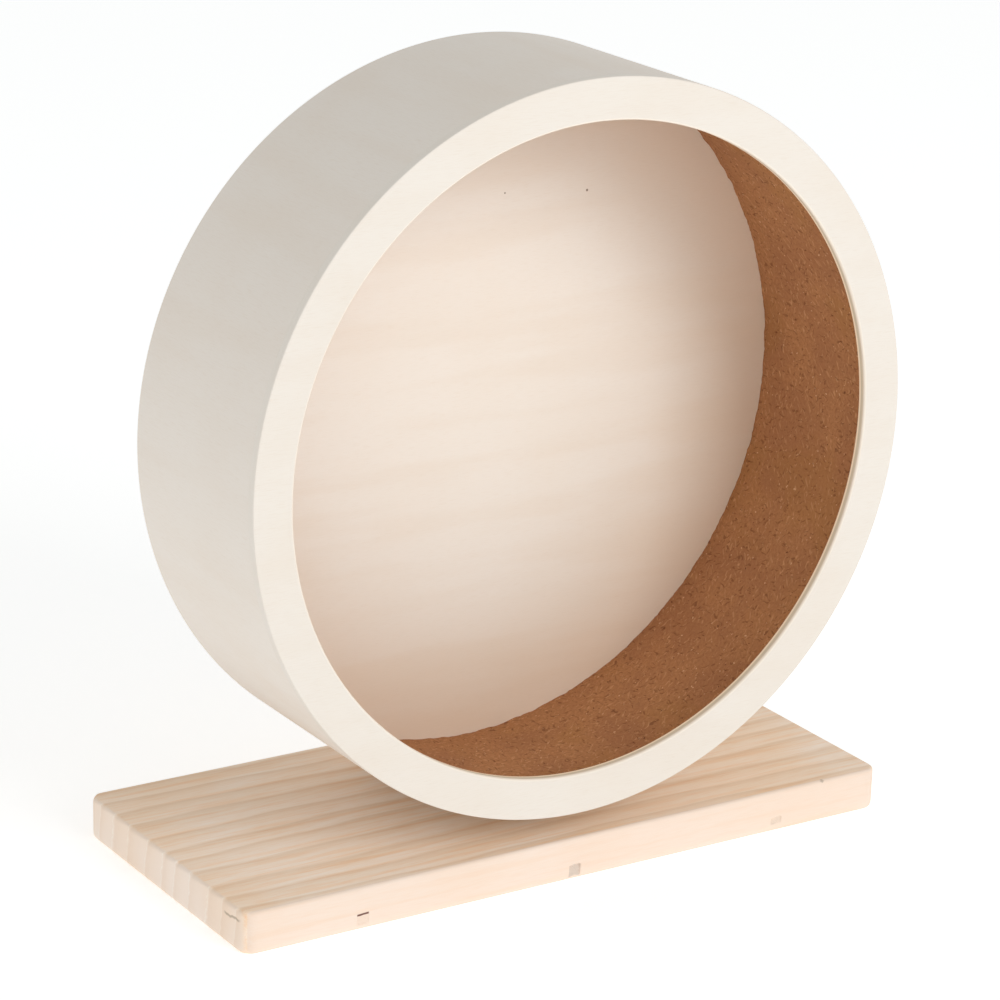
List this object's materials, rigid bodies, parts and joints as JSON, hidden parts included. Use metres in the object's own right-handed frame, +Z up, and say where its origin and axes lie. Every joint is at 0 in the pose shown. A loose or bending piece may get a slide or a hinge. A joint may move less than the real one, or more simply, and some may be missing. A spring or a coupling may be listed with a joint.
{
  "type": "rodent exercise wheel",
  "caption": "Cork-lined plywood running drum, open at the front, turning on ball bearings in an upright on a wooden base board.",
  "frame": {"origin": "centre of the base board's underside, on the floor", "axes": "+Z up, axle along Y, open front of the drum towards -Y, base board long along X"},
  "size_m": [0.305, 0.1352, 0.329],
  "materials": {
    "solid_pine": "sanded, bare",
    "beech": "turned, bare",
    "birch_plywood": "sanded, bare",
    "cork": "granulated, matt",
    "zinc_steel": "bright zinc plate",
    "bearing_steel": "ground",
    "nylon": "natural"
  },
  "bodies": {
    "stand": {"base_board": "solid_pine", "upright_board": "solid_pine", "base_dowels": "beech", "base_screws": "zinc_steel", "front_bearing_outer_ring": "bearing_steel", "rear_bearing_outer_ring": "bearing_steel"},
    "wheel": {"front_ring": "birch_plywood", "drum_wall": "birch_plywood", "cork_lining": "cork", "rear_disc": "birch_plywood", "hub_block": "birch_plywood", "tee_nut": "zinc_steel", "axle_bolt": "zinc_steel", "head_washer": "zinc_steel", "spring_washer": "zinc_steel", "lock_nut": "zinc_steel", "bearing_spacer": "zinc_steel", "front_bearing_inner_ring": "bearing_steel", "rear_bearing_inner_ring": "bearing_steel"},
    "front_cage": {"front_bearing_cage": "nylon", "front_bearing_balls": "bearing_steel"},
    "rear_cage": {"rear_bearing_cage": "nylon", "rear_bearing_balls": "bearing_steel"}
  },
  "joints": [
    {"name": "wheel_spin", "type": "hinge", "parent": "stand", "child": "wheel", "pos_m": [0, 0, 0.179], "axis": [0, 1, 0], "continuous": true},
    {"name": "front_cage_spin", "type": "hinge", "parent": "stand", "child": "front_cage", "pos_m": [0, 0, 0.179], "axis": [0, 1, 0], "continuous": true},
    {"name": "rear_cage_spin", "type": "hinge", "parent": "stand", "child": "rear_cage", "pos_m": [0, 0, 0.179], "axis": [0, 1, 0], "continuous": true}
  ],
  "couplings": [
    {"joint": "front_cage_spin", "follows": "wheel_spin", "ratio": 0.3677},
    {"joint": "rear_cage_spin", "follows": "wheel_spin", "ratio": 0.3677}
  ]
}
